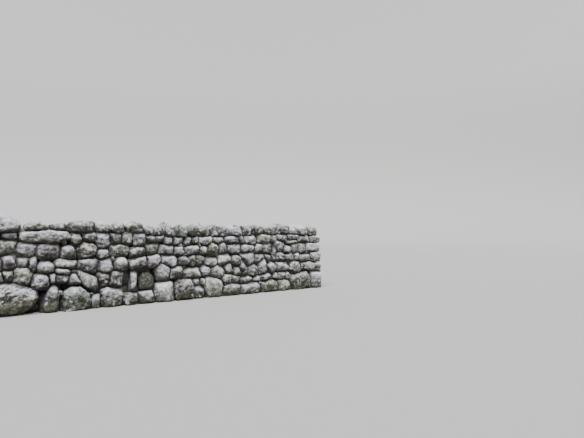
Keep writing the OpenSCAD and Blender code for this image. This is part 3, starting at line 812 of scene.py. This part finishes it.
FINISHES = {
    "cope": dict(paleness=-0.1, contrast=0.75, lichen=0.85, ochre=0.25, green=0.15, behind_face=False),
    "corner": dict(paleness=0.02, contrast=0.85, lichen=0.95, ochre=0.25, green=0.0, behind_face=False),
    "slab": dict(paleness=0.07, lichen=0.6, ochre=0.6, green=0.0, bands=0.5, behind_face=False),
    "face": dict(lichen=0.6, moss_height=0.25),
    "shaded": dict(moss_height=0.25, moss_and_shade_place=RECESS_STONE),
    # A little darker: painted shade cast over the lower course
    "footing": dict(paleness=-0.03, ochre=0.25, green=0.25, moss_height=0.35),
    "block": dict(paleness=-0.02, lichen=0.4, ochre=0.15, green=1.2, moss_height=0.3),
    "boulder": dict(
        paleness=0.06,
        contrast=1.3,
        lichen=0.7,
        ochre=0.5,
        green=0.0,
        moss_height=0.2,
        bands=1.0,
        brow=BOULDER_BROW,
    ),
    # Darker: painted shade of the gaps the pinning stones sit in
    "pinning": dict(paleness=-0.1, lichen=0.2, moss_height=0.25),
    "hearting": dict(paleness=-0.12, lichen=0.0, ochre=0.3, green=0.0),
}


def finish_of(name):
    return bpy.data.materials.get("weathered_" + name) or limestone("weathered_" + name, **FINISHES[name])


def lay(node, slot, finish, seed, coarse=1.0, rough=1.0, worn=1.0, least_open=0.0):
    """Turns one CAD node into weathered stones. least_open is how open even their bedded part counts as."""
    shape = bpy.context.scene.wall_shape
    worn_range = (shape.least_worn * worn, shape.most_worn * worn)
    piece = shape_stones(copy_of(node), random.Random(seed), shape.cell * coarse, worn_range, least_open)
    weather(piece, rough)
    thin_buried(piece)
    stand_on_ground(piece)
    finish_piece(piece, finish_of(finish), slot, node)


class WALL_OT_footings(bpy.types.Operator):
    """Footing stones of every bay, with the great boulder and the slab and block beside it"""

    bl_idname = "wall.footings"
    bl_label = "Footings"

    def execute(self, context):
        lay("great_footing_boulder", "boulder_limestone", "boulder", seed=11, rough=1.6)
        lay("leaning_footing_slab", "footing_limestone", "footing", seed=103)
        lay("square_footing_block", "footing_limestone", "block", seed=13, worn=0.35)
        lay("centre_footing_stone", "footing_limestone", "footing", seed=14)
        for n in BAYS:
            lay(f"bay_{n}_footing_stones", "footing_limestone", "footing", seed=20 + n)
        return {"FINISHED"}


class WALL_OT_faces(bpy.types.Operator):
    """Rubble of the front and the back face, with the through stones"""

    bl_idname = "wall.faces"
    bl_label = "Faces"

    def execute(self, context):
        for n in BAYS:
            lay(f"bay_{n}_front_face", "face_limestone", "shaded" if n == 3 else "face", seed=30 + n)
            lay(f"bay_{n}_back_face", "face_limestone", "face", seed=40 + n, coarse=1.12)
        for n in THROUGHS:
            lay(f"through_stone_{n}", "face_limestone", "face", seed=50 + n)
        return {"FINISHED"}


class WALL_OT_heads(bpy.types.Operator):
    """Plain wall heads at both ends"""

    bl_idname = "wall.heads"
    bl_label = "Wall heads"

    def execute(self, context):
        lay("left_wall_head", "face_limestone", "face", seed=61, coarse=1.2, worn=0.5)
        lay("right_wall_head", "face_limestone", "face", seed=62, coarse=1.2, worn=0.5)
        return {"FINISHED"}


class WALL_OT_hearting(bpy.types.Operator):
    """Packing between the two faces"""

    bl_idname = "wall.hearting"
    bl_label = "Hearting"

    def execute(self, context):
        for n in BAYS:
            node = f"bay_{n}_hearting"
            lay(node, "hearting_limestone", "hearting", seed=70 + n, coarse=2.0, rough=2.2, least_open=0.6)
        return {"FINISHED"}


class WALL_OT_cope(bpy.types.Operator):
    """Pale cope stones along the top"""

    bl_idname = "wall.cope"
    bl_label = "Cope"

    def execute(self, context):
        lay("long_cope_slab", "cope_limestone", "slab", seed=376)
        lay("corner_cope_boulder", "cope_limestone", "corner", seed=105)
        for n in BAYS:
            lay(f"bay_{n}_cope_stones", "cope_limestone", "cope", seed=90 + n)
        return {"FINISHED"}


class WALL_OT_joints(bpy.types.Operator):
    """Joint soil and painted shade, noted on every stone where it lies close to another one"""

    bl_idname = "wall.joints"
    bl_label = "Joint soil"

    def execute(self, context):
        note_joints([thing for thing in context.scene.objects if thing.name.endswith(FINISHED)])
        return {"FINISHED"}


def chip_patterns(count, dice):
    """Small broken stones to copy, each of a few dozen faces."""
    patterns = []
    for k in range(count):
        bpy.ops.object.select_all(action="DESELECT")
        bpy.ops.mesh.primitive_cube_add(size=2.0, location=(0, 0, 0))
        chip = bpy.context.object
        chip.name = f"chip_pattern_{k}"
        for _ in range(CHIP_CUTS):
            normal = Vector((dice.uniform(-1, 1), dice.uniform(-1, 1), dice.uniform(-1, 1))).normalized()
            cut = normal * dice.uniform(0.55, 0.95)
            edit(bpy.ops.mesh.bisect, plane_co=cut, plane_no=normal, clear_outer=True, use_fill=True)
        rim = chip.modifiers.new("rim", "BEVEL")
        rim.width = 0.09
        rim.segments = 1
        apply_all(chip)
        patterns.append(chip)
    return patterns


def search_trees(context):
    """A search tree for each weathered piece, with the corners of its box."""
    graph = context.evaluated_depsgraph_get()
    trees = []
    for thing in context.scene.objects:
        if thing.name.endswith(FINISHED):
            points = points_of(thing.data)
            trees.append((BVHTree.FromObject(thing, graph), points.min(0), points.max(0)))
    return trees


def gap_at(point, trees):
    """Distance from a point in a gap to the nearest stone and that stone's normal, or None inside a stone."""
    best = None
    for tree, low, high in trees:
        if any(point[k] < low[k] - PIN_REACH or point[k] > high[k] + PIN_REACH for k in range(3)):
            continue
        spot, normal, _, distance = tree.find_nearest(point, PIN_REACH)
        if spot is None:
            continue
        if (point - spot).dot(normal) < 0:
            return None
        if best is None or distance < best[0]:
            best = (distance, normal)
    return best


def is_held(point, gap, trees):
    """Whether a stone faces the nearest one across the gap, so that a pinning stone would be held."""
    half_width, normal = gap
    reach = 1.9 * half_width
    for tree, low, high in trees:
        if all(low[k] - reach < point[k] < high[k] + reach for k in range(3)):
            if tree.ray_cast(point, normal, reach)[0] is not None:
                return True
    return False


def in_opening(point):
    left, right, foot, top = SLOT_AND_RECESS
    return left < point.x < right and foot < point.z < top


def places(start, end, step):
    while start < end:
        yield start
        start += step


def gaps_to_pin(trees, settings, dice):
    """Places in the joints of both faces where a pinning stone would fit and be held, the widest first."""
    found = []
    for side in (-1, 1):
        for z in places(FIRST_ROW, FACE_TOP, settings.spacing):
            for x in places(-HALF_LENGTH + END_MARGIN, HALF_LENGTH - END_MARGIN, settings.spacing):
                depth = dice.uniform(*PIN_DEPTH)
                point = Vector((x, side * (HALF_BASE - BATTER * z - depth), z))
                gap = gap_at(point, trees)
                if gap and settings.least < gap[0] < settings.most and is_held(point, gap, trees):
                    if side > 0 or not in_opening(point):
                        found.append((gap[0], point, gap[1], side))
    found.sort(key=lambda entry: -entry[0])
    taken = []
    for entry in found:
        if all((entry[1] - other[1]).length > 2.8 * (entry[0] + other[0]) + PIN_APART for other in taken):
            taken.append(entry)
    return taken


def pinning_stone(pattern, dice, half_width, point, normal, side):
    """A copy of a chip, wedged across the gap at a point."""
    mesh = pattern.data.copy()
    outward = Vector((0, side, 0))
    across = (normal - outward * normal.dot(outward)).normalized()
    along = across.cross(outward)
    axes = Matrix((along, across, outward)).transposed().to_4x4()
    turn = Euler([dice.uniform(-PIN_TURN, PIN_TURN) for _ in range(3)]).to_matrix().to_4x4()
    length = half_width * dice.uniform(1.3, 2.1)
    depth = half_width * dice.uniform(1.2, 1.7)
    size = Matrix.Diagonal((length, half_width * 1.3, depth, 1.0))
    mesh.transform(Matrix.Translation(point) @ axes @ turn @ size)
    # A middling nearness lays part of the soil and painted shade of the gap over each pinning stone
    for name, value in (("stone_tone", dice.random()), ("stone_rise", 0.5), ("stone_near", 0.4)):
        note(mesh, name, np.full(len(mesh.vertices), value))
    chip = bpy.data.objects.new("chip", mesh)
    bpy.context.scene.collection.objects.link(chip)
    return chip


class WALL_OT_pinning(bpy.types.Operator):
    """Small pinning stones wedged into the gaps of both faces"""

    bl_idname = "wall.pinning"
    bl_label = "Pinning stones"

    def execute(self, context):
        dice = random.Random(7)
        gaps = gaps_to_pin(search_trees(context), context.scene.wall_pinning, dice)
        patterns = chip_patterns(CHIPS, dice)
        bays = {}
        for gap in gaps:
            chip = pinning_stone(dice.choice(patterns), dice, *gap)
            bay = min(BAYS[-1], 1 + int((gap[1].x + HALF_LENGTH) / BAY_LENGTH))
            bays.setdefault(bay, []).append(chip)
        for bay, chips in sorted(bays.items()):
            only(*chips)
            bpy.ops.object.join()
            piece = context.view_layer.objects.active
            piece.name = f"bay_{bay}_pinning_stones"
            stand_on_ground(piece)
            edit(bpy.ops.mesh.normals_make_consistent, inside=False)
            finish_piece(piece, finish_of("pinning"), "face_limestone")
        for pattern in patterns:
            bpy.data.objects.remove(pattern)
        return {"FINISHED"}


def lay_floor(settings):
    """A round floor whose sides rise in a wide curve."""
    bpy.ops.object.select_all(action="DESELECT")
    bpy.ops.mesh.primitive_circle_add(vertices=96, radius=STAGE_RADIUS, fill_type="NGON", location=(0, 0, 0))
    floor = bpy.context.object
    floor.name = "floor"
    edit(bpy.ops.mesh.extrude_region_move, TRANSFORM_OT_translate={"value": (0, 0, STAGE_HEIGHT)})
    bpy.ops.object.mode_set(mode="EDIT")
    bpy.ops.mesh.delete(type="ONLY_FACE")
    bpy.ops.object.mode_set(mode="OBJECT")
    curve = floor.modifiers.new("curve", "BEVEL")
    curve.width = STAGE_CURVE
    curve.segments = 24
    apply_all(floor)
    edit(bpy.ops.mesh.flip_normals)
    bpy.ops.object.shade_smooth()
    s = Shader("floor_paint")
    s.put(s.surface, "Base Color", (*settings.floor, 1.0))
    s.put(s.surface, "Roughness", 0.9)
    # The rising sides glow where the top light misses them, so that every view has the same pale ground
    toward = -Vector(settings.aim).normalized()
    lit = s.vector("DOT_PRODUCT", s.add("ShaderNodeNewGeometry").outputs["Normal"], toward)
    s.put(s.surface, "Emission Color", (1.0, 1.0, 1.0, 1.0))
    s.link(s.step(lit, 0.0, toward.z, 0.62, 0.0), s.surface.inputs["Emission Strength"])
    floor.data.materials.append(s.material)


def hang_lights(settings):
    """An even sky and one wide soft light overhead."""
    world = bpy.data.worlds.new("soft_sky")
    bpy.context.scene.world = world
    world.use_nodes = True
    sky = world.node_tree.nodes["Background"]
    sky.inputs["Color"].default_value = (0.93, 0.95, 1.0, 1.0)
    sky.inputs["Strength"].default_value = settings.sky
    lamp = bpy.data.lights.new("top_light", "SUN")
    lamp.energy = settings.top
    lamp.angle = settings.spread
    light = bpy.data.objects.new("top_light", lamp)
    bpy.context.scene.collection.objects.link(light)
    light.location = (0.0, 0.0, 6.0)
    light.rotation_euler = Vector(settings.aim).to_track_quat("-Z", "Y").to_euler()


def set_camera(settings):
    """The camera at the photograph's place and angle."""
    view = bpy.data.cameras.new("camera")
    view.lens = settings.lens
    view.sensor_width = 36.0
    camera = bpy.data.objects.new("camera", view)
    bpy.context.scene.collection.objects.link(camera)
    camera.location = settings.eye
    camera.rotation_euler = (math.pi / 2 + settings.pitch, 0.0, -settings.heading)
    bpy.context.scene.camera = camera


class WALL_OT_stage(bpy.types.Operator):
    """Plain floor, soft light and the camera"""

    bl_idname = "wall.stage"
    bl_label = "Stage"

    def execute(self, context):
        settings = context.scene.wall_stage
        lay_floor(settings)
        hang_lights(settings)
        set_camera(settings)
        return {"FINISHED"}


class WALL_PT_panel(bpy.types.Panel):
    bl_label = "Dry Stone Wall"
    bl_idname = "WALL_PT_panel"
    bl_space_type = "VIEW_3D"
    bl_region_type = "UI"
    bl_category = "Dry Stone Wall"

    def draw(self, context):
        for name in GROUPS:
            group = getattr(context.scene, name)
            for value in group.__annotations__:
                self.layout.prop(group, value)
        for operator in OPERATORS:
            self.layout.operator(operator.bl_idname)


GROUPS = {
    "wall_shape": StoneShape,
    "wall_colours": StoneColours,
    "wall_pinning": PinningStones,
    "wall_stage": StageSettings,
}
OPERATORS = [
    WALL_OT_stage,
    WALL_OT_footings,
    WALL_OT_faces,
    WALL_OT_heads,
    WALL_OT_hearting,
    WALL_OT_cope,
    WALL_OT_joints,
    WALL_OT_pinning,
]


def register():
    for thing in [*GROUPS.values(), *OPERATORS, WALL_PT_panel]:
        bpy.utils.register_class(thing)
    for name, group in GROUPS.items():
        setattr(bpy.types.Scene, name, PointerProperty(type=group))


def unregister():
    for name in GROUPS:
        delattr(bpy.types.Scene, name)
    for thing in [WALL_PT_panel, *reversed(OPERATORS), *reversed(GROUPS.values())]:
        bpy.utils.unregister_class(thing)


def main():
    register()
    bpy.ops.wall.stage()
    bpy.ops.wall.footings()
    bpy.ops.wall.faces()
    bpy.ops.wall.heads()
    bpy.ops.wall.hearting()
    bpy.ops.wall.cope()
    bpy.ops.wall.joints()
    bpy.ops.wall.pinning()


if __name__ == "__main__":
    main()
